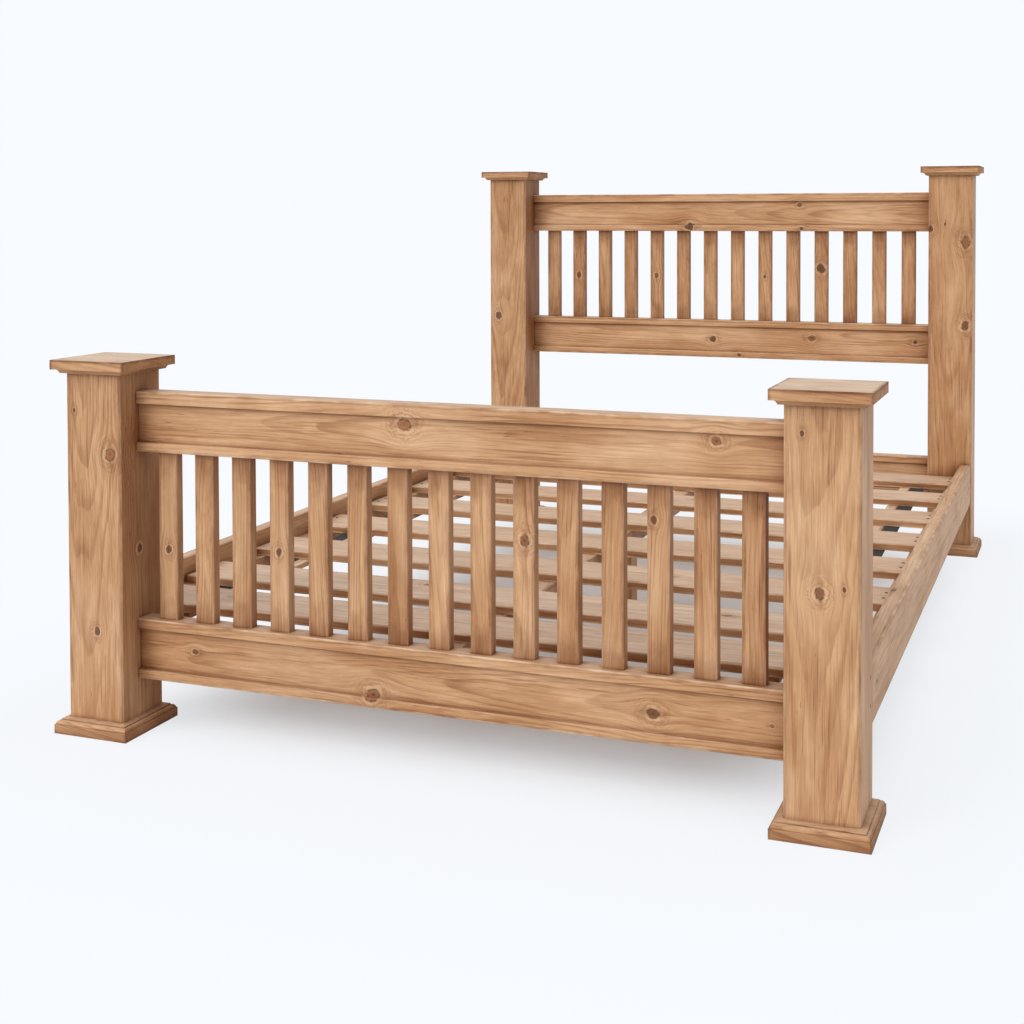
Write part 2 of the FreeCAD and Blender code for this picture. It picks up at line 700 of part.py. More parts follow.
def make_shoe():
    """A steel shoe, open at the top: its own Y = 0 is the face it is screwed to, and it points to -Y."""
    body = new_body("centre_shoe")
    inside = S["centre_width"] + S["fit_gap"] * 2
    outside = inside + S["shoe_plate"] * 2
    flanged = outside + S["shoe_flange"] * 2
    box(body, "centre_shoe_flange", (-flanged / 2, -S["shoe_plate"], 0),
        (flanged, S["shoe_plate"], S["shoe_height"]), cut=False)
    box(body, "centre_shoe_cup", (-outside / 2, -S["shoe_depth"], 0),
        (outside, S["shoe_depth"], S["shoe_height"]), cut=False)
    box(body, "centre_shoe_hollow", (-inside / 2, -S["shoe_depth"] - S["end_gap"], S["shoe_plate"]),
        (inside, S["shoe_depth"] + S["end_gap"] - S["shoe_plate"], S["shoe_height"]))
    return body


def make_shoes():
    level = centre_z - S["shoe_plate"]
    faces = {FOOT: foot_rail_back, HEAD: head_field}
    keep(group("centre_rail_shoes", make_shoe(), [
        ((ZERO, face, level), turned(90 - 90 * end)) for end, face in faces.items()]))


def make_strip(name, width, height):
    """A strip under the slats, from the first slat to the last: its own origin is at its middle."""
    body = new_body(name)
    length = slat_last + S["slat_width"] - slat_start
    box(body, name + "_length", (-width / 2, slat_start, slat_under - height),
        (width, length, height), cut=False)
    return body


def make_slat_ties():
    tape = make_strip("slat_tape", S["tape_width"], S["tape_thickness"])
    batten = make_strip("slat_batten", S["batten_width"], S["batten_height"])
    keep(group("slat_tapes", tape, [
        (((slat_half - S["tape_inset"]) * side, ZERO, ZERO), UPRIGHT) for side in (LEFT, RIGHT)]))
    keep(group("slat_battens", batten, [
        (((slat_half - S["batten_inset"]) * side, ZERO, ZERO), UPRIGHT)
        for side in (LEFT, RIGHT)]))


# ---------------------------------------------------------------- the whole bed

def build():
    corners = [(side, end) for end in (FOOT, HEAD) for side in (LEFT, RIGHT)]
    strip = make_plinth_strip()
    for side, end in corners:
        make_post(side, end)
        make_cap(side, end)
        make_plinth(side, end, strip)
    keep(group("cap_dowels", make_cap_dowel(), [
        ((post_x * side, post_y * end, post_top[end]), UPRIGHT) for side, end in corners]))

    seats = {"foot_top_rail": ["bottom"], "foot_bottom_rail": ["top"],
             "head_top_rail": ["bottom"], "head_middle_rail": ["top"], "head_lower_rail": []}
    for name, end, level, band_up in BOARD_RAILS:
        make_board_rail(name, end, level, band_up, seats[name])
    for index in range(int(S["foot_spindles"].value)):
        spindle = keep(make_spindle("foot_spindle_%02d" % (index + 1), FOOT))
        place(spindle, spindle_spot(FOOT, index))
    keep(group("head_spindles", make_spindle("head_spindle", HEAD), [
        (spindle_spot(HEAD, index), UPRIGHT) for index in range(int(S["head_spindles"].value))]))

    for side in (LEFT, RIGHT):
        make_side_rail(side)
        make_bearer(side)
    make_hook_fittings()
    for index in range(slat_count):
        make_slat(index)
    make_centre_rail()
    make_centre_leg()
    make_shoes()
    make_slat_ties()


def check():
    """Every object has to be sound before anything is written."""
    for thing in doc.Objects:
        if "Invalid" in thing.State or "Error" in thing.State:
            raise RuntimeError("%s is %s" % (thing.Name, thing.State))
    for node in nodes:
        if node.Shape.isNull() or not node.Shape.isValid() or not node.Shape.Solids:
            raise RuntimeError("%s has no sound shape" % node.Label)


build()
doc.recompute()
check()
os.makedirs("parts", exist_ok=True)
for node in nodes:
    node.Shape.exportStep("parts/%s.step" % node.Label)
    print("%-22s solids %2d  volume %12.1f" % (node.Label, len(node.Shape.Solids), node.Shape.Volume))
print("nodes", len(nodes))
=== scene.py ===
"""The spindle bed as it looks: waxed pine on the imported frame, with its webbing, screws and staples.

Lengths are metres in the part's frame: X across the bed, Y from its foot to its head, Z up."""
import json
import math
import random

import bmesh
import bpy
from mathutils import Matrix, Vector

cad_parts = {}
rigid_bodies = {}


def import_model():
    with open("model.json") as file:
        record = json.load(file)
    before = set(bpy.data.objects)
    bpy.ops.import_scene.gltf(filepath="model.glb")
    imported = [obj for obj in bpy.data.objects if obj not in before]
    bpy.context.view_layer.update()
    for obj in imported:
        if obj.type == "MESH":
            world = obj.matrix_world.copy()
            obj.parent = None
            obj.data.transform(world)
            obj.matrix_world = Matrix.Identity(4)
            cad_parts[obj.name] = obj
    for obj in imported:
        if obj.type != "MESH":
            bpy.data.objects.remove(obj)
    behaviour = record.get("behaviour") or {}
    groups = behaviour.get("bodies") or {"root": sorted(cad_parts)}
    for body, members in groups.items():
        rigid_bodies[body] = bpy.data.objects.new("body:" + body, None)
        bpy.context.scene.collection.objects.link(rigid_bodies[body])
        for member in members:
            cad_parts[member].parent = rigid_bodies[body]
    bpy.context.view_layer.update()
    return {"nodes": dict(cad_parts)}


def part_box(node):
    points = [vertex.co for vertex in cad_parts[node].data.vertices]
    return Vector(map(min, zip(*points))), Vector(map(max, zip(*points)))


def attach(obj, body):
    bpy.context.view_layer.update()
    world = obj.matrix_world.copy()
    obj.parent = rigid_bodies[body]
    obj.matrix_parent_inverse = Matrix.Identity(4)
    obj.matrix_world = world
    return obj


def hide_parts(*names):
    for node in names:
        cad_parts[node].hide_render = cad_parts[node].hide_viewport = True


for leftover in list(bpy.data.objects):
    bpy.data.objects.remove(leftover)
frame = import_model()
nodes = frame["nodes"]
SIDES = (("left", -1), ("right", 1))


# ---------------------------------------------------------------- colours
def linear(level):
    """One channel of a screen colour, from 0 to 255, as linear light."""
    level /= 255
    return level / 12.92 if level <= 0.04045 else ((level + 0.055) / 1.055) ** 2.4


def colour(red, green, blue):
    """A screen colour as the linear colour that nodes take."""
    return (linear(red), linear(green), linear(blue), 1.0)


BACKDROP = colour(248, 251, 255)
FLOOR_COLOURS = colour(238, 240, 243), colour(242, 244, 246)
SOFT_LIGHT = (0.97, 0.985, 1.0, 1.0)
SUN_TINT = (1.0, 0.98, 0.95)

EARLY_WOOD = colour(210, 164, 122)
LATE_WOOD = colour(152, 100, 60)
HONEY = colour(174, 120, 76)
BLOND = colour(226, 186, 148)
WORN = colour(234, 204, 172)
PAINTED_TOP_SHEEN = colour(228, 206, 184)
STAIN_AND_SHADE = (0.38, 0.23, 0.125, 1.0)  # multiplies the wood where wax and dirt have gathered, and where shade is painted in hollows and on shaded faces
KNOT_RED = colour(176, 114, 72)
KNOT_DARK = colour(98, 54, 28)
KNOT_RIM = colour(60, 32, 16)
KNOT_HALO = colour(230, 192, 154)
KNOT_ARC = colour(142, 90, 52)
MARKS = ("Disc", "Rings", "Rim", "Halo", "Arcs")  # the parts of a knot


# ---------------------------------------------------------------- node trees
class Net:
    """Plain calls that add nodes to one tree and return their sockets."""

    def __init__(self, tree):
        self.tree = tree

    def feed(self, socket, value):
        """Links a socket to another one, or sets it to a constant."""
        if isinstance(value, bpy.types.NodeSocket):
            self.tree.links.new(value, socket)
        else:
            socket.default_value = value

    def add(self, kind, feeds=None, **settings):
        node = self.tree.nodes.new("ShaderNode" + kind)
        for name, value in settings.items():
            setattr(node, name, value)
        for key, value in (feeds or {}).items():
            self.feed(node.inputs[key], value)
        return node

    def call(self, group, feeds):
        node = self.tree.nodes.new("ShaderNodeGroup")
        node.node_tree = group
        for key, value in feeds.items():
            self.feed(node.inputs[key], value)
        return node.outputs

    def show(self, shader, output="OutputMaterial"):
        """Makes a shader the surface of the material or the world."""
        self.tree.links.new(shader.outputs[0], self.add(output).inputs["Surface"])

    def math(self, operation, *values):
        node = self.add("Math", operation=operation)
        for socket, value in zip(node.inputs, values):
            self.feed(socket, value)
        return node.outputs[0]

    def times(self, *values):
        total = values[0]
        for value in values[1:]:
            total = self.math("MULTIPLY", total, value)
        return total

    def plus(self, *values):
        total = values[0]
        for value in values[1:]:
            total = self.math("ADD", total, value)
        return total

    def vector(self, operation, *values):
        node = self.add("VectorMath", operation=operation)
        for socket, value in zip(node.inputs, values):
            self.feed(socket, value)
        return node.outputs["Value" if operation in ("DOT_PRODUCT", "LENGTH") else "Vector"]

    def stretch(self, value, factor):
        feeds = {"Vector": value, "Scale": factor}
        return self.add("VectorMath", feeds, operation="SCALE").outputs["Vector"]

    def split(self, value):
        return self.add("SeparateXYZ", {"Vector": value}).outputs

    def join(self, x, y, z):
        return self.add("CombineXYZ", {"X": x, "Y": y, "Z": z}).outputs["Vector"]

    def step(self, value, low, high, start=0.0, end=1.0):
        """Goes smoothly from start to end while value goes from low to high."""
        feeds = {"Value": value, "From Min": low, "From Max": high, "To Min": start, "To Max": end}
        return self.add("MapRange", feeds, interpolation_type="SMOOTHSTEP").outputs["Result"]

    def line(self, value, low, high, start=0.0, end=1.0):
        """Goes straight from start to end while value goes from low to high."""
        feeds = {"Value": value, "From Min": low, "From Max": high, "To Min": start, "To Max": end}
        return self.add("MapRange", feeds, clamp=True).outputs["Result"]

    def noise(self, where, detail=2.0, roughness=0.5):
        feeds = {"Vector": where, "Scale": 1.0, "Detail": detail, "Roughness": roughness}
        return self.add("TexNoise", feeds).outputs["Fac"]

    def chance(self, value):
        """A random number that stays the same for the same value."""
        return self.add("TexWhiteNoise", {"W": value}, noise_dimensions="1D").outputs["Value"]

    def bell(self, value, width):
        scaled = self.math("DIVIDE", value, width)
        return self.math("EXPONENT", self.math("MULTIPLY", self.times(scaled, scaled), -1.0))

    def blend(self, factor, first, second, mode="MIX"):
        node = self.add("Mix", data_type="RGBA", blend_type=mode)
        for index, value in ((0, factor), (6, first), (7, second)):
            self.feed(node.inputs[index], value)
        return node.outputs[2]


def new_group(name, inputs, outputs):
    """A node group with those sockets: the tree, its net, its input sockets by name and a call that feeds
    its outputs."""
    tree = bpy.data.node_groups.new(name, "ShaderNodeTree")
    for side, sockets in (("INPUT", inputs), ("OUTPUT", outputs)):
        for label, kind in sockets:
            tree.interface.new_socket(label, in_out=side, socket_type="NodeSocket" + kind)
    net = Net(tree)
    entry = tree.nodes.new("NodeGroupInput").outputs
    leave = tree.nodes.new("NodeGroupOutput").inputs

    def give(**values):
        for label, value in values.items():
            net.feed(leave[label], value)

    return tree, net, {label: entry[label] for label, _ in inputs}, give


def make_knot_group():
    """A knot: pushes the grain aside round it, and says where its disc, rings, rim, halo and arcs are."""
    tree, net, given, give = new_group(
        "knot",
        [(name, "Vector") for name in ("Place", "Centre", "Branch")] + [("Size", "Float"), ("Depth", "Float")],
        [("Place", "Vector")] + [(name, "Float") for name in MARKS])
    size = given["Size"]
    away = net.vector("SUBTRACT", given["Place"], given["Centre"])
    depth = net.vector("DOT_PRODUCT", away, given["Branch"])
    flat = net.vector("SUBTRACT", away, net.stretch(given["Branch"], depth))
    along, side, deep = net.split(flat)
    across = net.join(0.0, side, deep)
    width = net.math("DIVIDE", net.vector("LENGTH", across), size)
    length = net.math("DIVIDE", along, size)

    # span is 1 on the knot's rim, which noise makes uneven
    where = net.vector("ADD", away, net.stretch(given["Centre"], 3.0))
    fine = net.plus(net.noise(net.stretch(where, 260.0), 3.0, 0.6), -0.5)
    lumps = net.plus(net.noise(net.stretch(where, 62.0), 1.0), -0.5)
    span = net.math("SQRT", net.plus(net.times(length, length, 0.60), net.times(width, width)))
    span = net.plus(span, net.times(fine, 0.50), net.times(lumps, 0.95))
    near = net.step(net.math("ABSOLUTE", depth), net.times(given["Depth"], 0.7), given["Depth"], 1.0, 0.0)
    disc = net.times(net.step(span, 0.84, 1.06, 1.0, 0.0), near)
    broken = net.line(net.noise(net.stretch(where, 150.0), 1.0), 0.38, 0.58, 0.25, 1.0)
    rim = net.times(net.bell(net.plus(span, -1.0), 0.13), broken, near)
    halo = net.times(net.bell(net.plus(span, -1.45), 0.34), net.line(broken, 0.25, 1.0, 0.4, 1.0), near)
    rings = net.math("FRACT", net.plus(net.times(span, 3.3), net.times(fine, 1.2)))
    rings = net.times(net.step(rings, 0.2, 0.9), net.step(rings, 0.92, 1.0, 1.0, 0.0), 0.62)
    rings = net.math("MAXIMUM", rings, net.bell(span, 0.30))

    # dark arcs flow round the knot, and wedges lie before and behind it along the grain
    wave = net.math("SINE", net.plus(net.times(span, 7.5), net.times(fine, 7.0), net.times(lumps, 5.0)))
    arcs = net.times(net.step(wave, 0.2, 0.95), net.step(span, 1.2, 1.5), net.step(span, 1.8, 4.2, 0.70, 0.0))
    wedge = net.times(net.bell(width, 0.9), net.step(net.math("ABSOLUTE", length), 1.0, 1.6),
                      net.step(net.math("ABSOLUTE", length), 1.8, 4.4, 0.95, 0.0), broken)
    arcs = net.times(net.math("MAXIMUM", arcs, wedge), near)

    push = net.plus(net.times(length, length, 0.052), net.times(width, width, 0.085))
    push = net.times(net.math("EXPONENT", net.times(push, -1.0)), near, 0.93)
    give(Place=net.vector("SUBTRACT", given["Place"], net.stretch(across, push)),
         Disc=disc, Rings=net.times(rings, disc), Rim=rim, Halo=halo, Arcs=arcs)
    return tree


def make_arris_group():
    """How far a point on the surface of a box lies from the box's nearest edge."""
    tree, net, given, give = new_group(
        "arris",
        [("Point", "Vector"), ("Centre", "Vector"), ("Half", "Vector")],
        [("Distance", "Float")])
    away = net.vector("ABSOLUTE", net.vector("SUBTRACT", given["Point"], given["Centre"]))
    x, y, z = net.split(net.vector("SUBTRACT", given["Half"], away))
    low, high = net.math("MINIMUM", x, y), net.math("MAXIMUM", x, y)
    give(Distance=net.math("MAXIMUM", low, net.math("MINIMUM", high, z)))
    return tree


def make_pine_group():
    """Waxed pine: yearly rings round the pith, streaks, fibre, flecks, stains and painted shade, worn edges, a
    painted sheen on faces that look up, and knots.
    """
    floats = ("Seed", "Ring", "Contrast", "Tone", "DirtAndShade", "Edge", "Top", "End", "Red") + MARKS
    tree, net, given, give = new_group(
        "pine",
        [("Place", "Vector")] + [(name, "Float") for name in floats],
        [("Color", "Color"), ("Roughness", "Float"), ("Height", "Float")])
    along, side, deep = net.split(given["Place"])
    along = net.plus(along, net.times(given["Seed"], 3.1))

    def grain(length, width, detail=2.0, roughness=0.5):
        """Noise with that many waves per metre along and across the grain."""
        where = net.join(net.times(along, length), net.times(side, width), net.times(deep, width))
        return net.noise(where, detail, roughness)

    # the year a point grew in, how late in it, and how dark that year is
    sway = net.plus(grain(1.3, 7.0), -0.5)
    waver = net.plus(grain(7.0, 42.0), -0.5)
    radius = net.math("SQRT", net.plus(net.times(side, side), net.times(deep, deep)))
    radius = net.plus(radius, net.times(sway, 0.034), net.times(waver, 0.0036))
    year = net.math("DIVIDE", radius, given["Ring"])
    phase = net.math("FRACT", year)
    age = net.chance(net.plus(net.math("FLOOR", year), net.times(given["Seed"], 17.0)))
    late = net.times(net.step(phase, 0.40, 0.90), net.step(phase, 0.93, 1.0, 1.0, 0.0))
    late = net.times(late, net.line(age, 0.0, 1.0, 0.15, 1.0))
    bands = net.noise(net.join(net.times(along, 0.9), net.times(radius, 58.0), net.times(given["Seed"], 5.0)))

    streaks = grain(2.6, 190.0, 4.0, 0.65)
    threads = grain(6.0, 460.0, 2.0, 0.6)
    fibre = grain(16.0, 1100.0, 2.0, 0.6)
    clouds = grain(3.2, 11.0, 2.0)
    mottle = grain(10.0, 30.0, 4.0, 0.65)
    lines = net.times(net.step(grain(1.9, 300.0, 2.0), 0.56, 0.65),
                      net.step(grain(3.4, 26.0, 1.0), 0.40, 0.60))
    flecks = net.times(net.step(grain(34.0, 380.0, 1.0), 0.69, 0.77), net.step(clouds, 0.45, 0.62))

    wood = net.blend(net.times(late, given["Contrast"]), EARLY_WOOD, LATE_WOOD)
    wood = net.blend(net.step(bands, 0.42, 0.72, 0.0, 0.50), wood, HONEY)
    wood = net.blend(net.step(clouds, 0.48, 0.72, 0.0, 0.45), wood, HONEY)
    wood = net.blend(net.step(clouds, 0.34, 0.50, 0.42, 0.0), wood, BLOND)
    # painted sheen: faces that look up are blended towards a pale colour
    wood = net.blend(given["Top"], wood, PAINTED_TOP_SHEEN)

    # darker wood is also redder, so green and blue fall faster than red
    level = net.times(net.line(streaks, 0.28, 0.72, 0.88, 1.10), net.line(threads, 0.28, 0.72, 0.89, 1.08),
                      net.line(fibre, 0.28, 0.72, 0.92, 1.06), net.line(mottle, 0.3, 0.7, 0.88, 1.09))
    level = net.times(level, given["Tone"], net.step(given["End"], 0.5, 0.95, 1.0, 0.74))
    level = net.times(level, net.line(lines, 0.0, 1.0, 1.0, 0.74), net.line(flecks, 0.0, 1.0, 1.0, 0.55))
    shade = net.join(level, net.math("POWER", level, 1.35), net.math("POWER", level, 1.8))
    wood = net.blend(1.0, wood, shade, "MULTIPLY")

    # stains and painted shade darken the wood together
    patchy = net.times(given["DirtAndShade"], net.line(clouds, 0.3, 0.7, 0.72, 1.15))
    wood = net.blend(net.math("MINIMUM", patchy, 1.0), wood, net.blend(1.0, wood, STAIN_AND_SHADE, "MULTIPLY"))
    wood = net.blend(net.times(given["Edge"], net.step(streaks, 0.36, 0.6, 0.25, 1.0)), wood, WORN)

    wood = net.blend(net.times(given["Halo"], 0.40), wood, KNOT_HALO)
    wood = net.blend(net.times(given["Arcs"], 0.72), wood, KNOT_ARC)
    heart = net.blend(given["Rings"], net.blend(given["Red"], KNOT_DARK, KNOT_RED),
                      net.blend(given["Red"], KNOT_RIM, KNOT_DARK))
    wood = net.blend(net.times(given["Disc"], 0.88), wood, heart)
    wood = net.blend(net.times(given["Rim"], 0.85), wood, KNOT_RIM)

    rough = net.plus(net.line(streaks, 0.2, 0.8, 0.46, 0.60), net.times(fibre, 0.06), net.times(late, -0.05),
                     net.times(given["DirtAndShade"], 0.12), net.times(given["End"], 0.15))
    height = net.plus(net.times(late, 0.35), net.times(fibre, 0.30), net.times(streaks, 0.45),
                      net.times(lines, -0.5), net.times(flecks, -0.5), net.times(given["Rim"], -0.9),
                      net.times(given["Disc"], 0.35))
    give(Color=wood, Roughness=rough, Height=height)
    return tree


# ---------------------------------------------------------------- materials
def new_material(name):
    material = bpy.data.materials.new(name)
    material.use_nodes = True
    material.node_tree.nodes.clear()
    return material, Net(material.node_tree)


def finish_of(net, base, rough, height, depth, **constants):
    """The Principled shader at the end of a material, with a bump of that depth."""
    bump = net.add("Bump", {"Strength": 0.55, "Distance": depth, "Height": height})
    feeds = {"Base Color": base, "Roughness": rough, "Normal": bump.outputs["Normal"]}
    shader = net.add("BsdfPrincipled", feeds)
    for key, value in constants.items():
        shader.inputs[key.replace("_", " ")].default_value = value
    net.show(shader)


KNOT_GROUP = make_knot_group()
ARRIS_GROUP = make_arris_group()
PINE_GROUP = make_pine_group()
ORDERS = {"X": (0, 1, 2), "Y": (1, 0, 2), "Z": (2, 0, 1)}  # grain axis first, then side and deep
CREVICE_REACH, CORNER_REACH = 0.06, 0.009


def local(vector, axis):
    """A constant vector as along, side and deep of a piece whose grain runs along axis."""
    return tuple(vector[i] for i in ORDERS[axis])


def turned(net, vector, axis):
    """The same for the vector of a socket."""
    parts = net.split(vector)
    return net.join(*[parts[i] for i in ORDERS[axis]])


def lay_knots(net, place, seen, axis, knots):
    """Pushes the grain aside round each knot: the new place, the knots' marks and how red they are. seen is
    the true place in a piece that repeats, and otherwise None."""
    marks = dict.fromkeys(MARKS, 0.0)
    red = 0.6
    for x, y, z, branch, size, depth, redness in knots:
        heading = [0.0, 0.0, 0.0]
        heading[ORDERS[axis].index("XYZ".index(branch))] = 1.0
        knot = net.call(KNOT_GROUP, {"Place": seen or place, "Centre": local((x, y, z), axis),
                                     "Branch": heading, "Size": size, "Depth": depth})
        if seen:
            place = net.vector("ADD", place, net.vector("SUBTRACT", knot["Place"], seen))
        else:
            place = knot["Place"]
        for key, value in marks.items():
            marks[key] = net.math("MAXIMUM", value, knot[key])
        red = net.add("Mix", {0: knot["Disc"], 2: red, 3: redness}).outputs[0]
    return place, marks, red


def ageing(net, whole, point, faces, box, axis, wear=0.75, grime=(0.14, 0.66), outline=0.0, shaded=(),
           ends=None, seams=None):
    """Where a piece is rubbed pale, and where wax, dirt and painted shade darken it. wear is how pale its
    edges are, the shelter range where painted shade in hollows, with dirt, starts and is full, and outline how
    dark a thin line along its edges is. Each shaded is (axis, way or 0 for both, amount of painted shade) of
    faces darkened by the way they look, ends the (painted shade with dirt, middle, half length) of a spindle,
    and seams the half length of a rail between its posts."""
    low, high = box
    distance = net.call(ARRIS_GROUP, {"Point": point, "Centre": tuple((low + high) / 2),
                                      "Half": tuple((high - low) / 2)})["Distance"]
    nicks = net.noise(net.stretch(whole, 60.0), 3.0, 0.6)
    rubbed = net.noise(net.stretch(whole, 19.0), 2.0, 0.5)
    edge = net.step(net.plus(distance, net.times(nicks, -0.003)), 0.0002, 0.0026, wear, 0.0)
    edge = net.times(edge, net.line(rubbed, 0.40, 0.60, 0.35, 1.0))
    band = net.step(net.plus(distance, net.times(nicks, -0.006)), 0.0, 0.006, 1.0, 0.0)
    dark = net.times(band, net.line(rubbed, 0.36, 0.60, 0.55, 0.20))

    # painted shade, with dirt, in sheltered places, and a thin line of painted shade in each corner
    crevice = net.add("AmbientOcclusion", {"Distance": CREVICE_REACH}, samples=6)
    hidden = net.math("SUBTRACT", 1.0, crevice.outputs["AO"])
    dark = net.math("MAXIMUM", dark, net.times(net.step(hidden, *grime), 0.95))
    corner = net.add("AmbientOcclusion", {"Distance": CORNER_REACH}, samples=4)
    corner = net.math("SUBTRACT", 1.0, corner.outputs["AO"])
    dark = net.math("MAXIMUM", dark, net.step(corner, 0.14, 0.42, 0.0, 0.90))

    if outline:
        drawn = net.step(net.plus(distance, net.times(nicks, -0.003)), 0.0010, 0.0030, outline, 0.0)
        dark = net.math("MAXIMUM", dark, net.times(drawn, net.line(rubbed, 0.40, 0.60, 1.0, 0.75)))
    # painted shade on the faces that look one way
    for letter, way, shade_amount in shaded:
        facing = faces["XYZ".index(letter)]
        facing = net.times(facing, float(way)) if way else net.math("ABSOLUTE", facing)
        dark = net.math("MAXIMUM", dark, net.step(facing, 0.5, 0.9, 0.0, shade_amount))
    # painted shade, with dirt, darkens a spindle towards its ends by the rails
    if ends:
        shade_amount, middle, half = ends
        reach = net.math("SUBTRACT", half, net.math("ABSOLUTE", net.plus(net.split(point)[2], -middle)))
        ragged = net.times(net.plus(net.noise(net.stretch(whole, 34.0), 2.0), -0.5), 0.07)
        dark = net.math("MAXIMUM", dark, net.step(net.plus(reach, ragged), 0.0, 0.075, shade_amount, 0.0))
    if seams:
        reach = net.math("SUBTRACT", seams, net.math("ABSOLUTE", net.split(point)["XYZ".index(axis)]))
        reach = net.plus(reach, net.times(nicks, -0.003))
        dark = net.math("MAXIMUM", dark, net.step(reach, 0.0, 0.006, 0.95, 0.0))
    return edge, dark


def pine(name, box, axis, pith, tilt=(0.012, 0.008), ring=0.0048, contrast=0.62, tone=1.0, top=0.42, knots=(),
         pitch=None, **age):
    """The pine of one piece. box is its own box in the frame, axis its grain, pith the way from its middle to
    the heart of the tree, tilt the slope of the heart along the grain, ring the width of a year, and top how
    strongly a painted sheen makes the faces that look up paler. Each knot is (x, y, z, branch axis, size,
    depth, redness). pitch repeats the piece along X. What else there is goes to the function for wear, dirt
    and painted shade."""
    material, net = new_material(name)
    seed = random.Random(name).uniform(0.5, 9.5)
    centre = (box[0] + box[1]) / 2
    coordinates = net.add("TexCoord")
    whole = coordinates.outputs["Object"]
    point = whole
    if pitch:
        x, y, z = net.split(point)
        steps = net.math("DIVIDE", net.plus(x, pitch / 2 - centre.x), pitch)
        seed = net.plus(net.times(net.math("FLOOR", steps), 0.37), seed)
        x = net.plus(net.times(net.plus(net.math("FRACT", steps), -0.5), pitch), centre.x)
        point = net.join(x, y, z)

    place = turned(net, point, axis)
    seen = turned(net, whole, axis) if pitch else None
    place, marks, red = lay_knots(net, place, seen, axis, knots)
    along, side, deep = net.split(net.vector("SUBTRACT", place, local(centre, axis)))
    if pitch:
        side = net.plus(side, net.times(net.plus(net.chance(seed), -0.5), 0.06))
    side = net.plus(side, net.times(along, tilt[0]), -pith[0])
    deep = net.plus(deep, net.times(along, tilt[1]), -pith[1])
    place = net.join(along, side, deep)

    faces = net.split(coordinates.outputs["Normal"])
    edge, dark = ageing(net, whole, point, faces, box, axis, **age)
    facing = net.math("ABSOLUTE", faces["XYZ".index(axis)])
    # painted sheen: how much paler the faces that look up are made
    painted_top_sheen = net.step(faces["Z"], 0.6, 0.95, 0.0, top)
    shown = net.call(PINE_GROUP, {"Place": place, "Seed": seed, "Ring": ring, "Contrast": contrast,
                                  "Tone": tone, "DirtAndShade": dark, "Edge": edge, "Top": painted_top_sheen, "End": facing,
                                  "Red": red, **marks})
    finish_of(net, shown["Color"], shown["Roughness"], shown["Height"], 0.0007,
              Specular_IOR_Level=0.30, Coat_Weight=0.06, Coat_Roughness=0.40)
    return material


def steel(name, base, rough, scale=(40.0, 40.0, 900.0)):
    """Zinc plated or blackened steel: fine brushing, mottled plating and dull patches."""
    material, net = new_material(name)
    point = net.add("TexCoord").outputs["Object"]
    brushed = net.noise(net.vector("MULTIPLY", point, scale), 3.0, 0.6)
    mottled = net.noise(net.stretch(point, 260.0), 3.0, 0.6)
    dull = net.noise(net.stretch(point, 45.0), 2.0)
    shade = net.line(net.plus(net.times(mottled, 0.6), net.times(dull, 0.4)), 0.3, 0.7, 0.72, 1.1)
    tinted = net.blend(1.0, base, net.join(shade, shade, shade), "MULTIPLY")
    roughness = net.plus(net.line(brushed, 0.3, 0.7, rough - 0.07, rough + 0.07), net.times(dull, 0.12))
    finish_of(net, tinted, roughness, net.plus(brushed, net.times(mottled, 0.5)), 0.0001, Metallic=1.0)
    return material


def webbing(name):
    """Black woven tape: ribs of warp and weft, with dusty high points."""
    material, net = new_material(name)
    point = net.add("TexCoord").outputs["Object"]
    x, y, _ = net.split(point)
    warp_pitch, weft_pitch = 0.0016, 0.0022
    warp = net.math("SINE", net.times(x, 2 * math.pi / warp_pitch))
    weft = net.math("SINE", net.times(y, 2 * math.pi / weft_pitch))
    woven = net.times(warp, weft)
    fuzz = net.noise(net.stretch(point, 1500.0), 2.0, 0.7)
    dust = net.noise(net.stretch(point, 24.0), 3.0, 0.6)
    height = net.plus(net.times(woven, 0.5), net.times(fuzz, 0.4))
    light = net.plus(net.times(net.step(height, -0.1, 0.8), 0.5), net.times(net.step(dust, 0.45, 0.8), 0.4))
    base = net.blend(light, colour(15, 14, 15), colour(44, 42, 41))
    finish_of(net, base, net.line(fuzz, 0.2, 0.8, 0.72, 0.92), height, 0.0004, Sheen_Weight=0.05)
    return material


# ---------------------------------------------------------------- the wood of each piece
# Faces that the photograph's knots lie on: the posts' fronts, the rails between their bands, the spindles.
FRONT_FOOT, FRONT_HEAD = -1.145, 1.015
FOOT_RAIL, HEAD_RAIL = -1.086, 1.094
FOOT_SPINDLE, HEAD_SPINDLE = -1.081, 1.099
SLAT_FACE = 0.24

# Each knot is (x, y, z, branch axis, size, depth, redness).
POST_KNOTS = {
    "post_foot_left": [
        (-0.690, FRONT_FOOT, 0.569, "Y", 0.0100, 0.05, 0.9),
        (-0.726, FRONT_FOOT, 0.209, "Y", 0.0060, 0.04, 0.2),
        (-0.776, FRONT_FOOT, 0.653, "Y", 0.0030, 0.02, 0.0),
        (-0.665, -1.087, 0.370, "X", 0.0070, 0.03, 0.0)],
    "post_foot_right": [
        (0.727, FRONT_FOOT, 0.415, "Y", 0.0078, 0.05, 0.4),
        (0.696, FRONT_FOOT, 0.681, "Y", 0.0036, 0.03, 0.1),
        (0.763, FRONT_FOOT, 0.425, "Y", 0.0036, 0.03, 0.0)],
    "post_head_left": [(-0.765, FRONT_HEAD, 0.701, "Y", 0.0095, 0.04, 0.1)],
    "post_head_right": [
        (0.776, FRONT_HEAD, 0.957, "Y", 0.0130, 0.05, 0.7),
        (0.776, FRONT_HEAD, 0.702, "Y", 0.0110, 0.05, 0.2),
        (0.672, FRONT_HEAD, 0.997, "Y", 0.0075, 0.03, 0.1),
        (0.717, FRONT_HEAD, 1.012, "Y", 0.0040, 0.02, 0.0)],
}
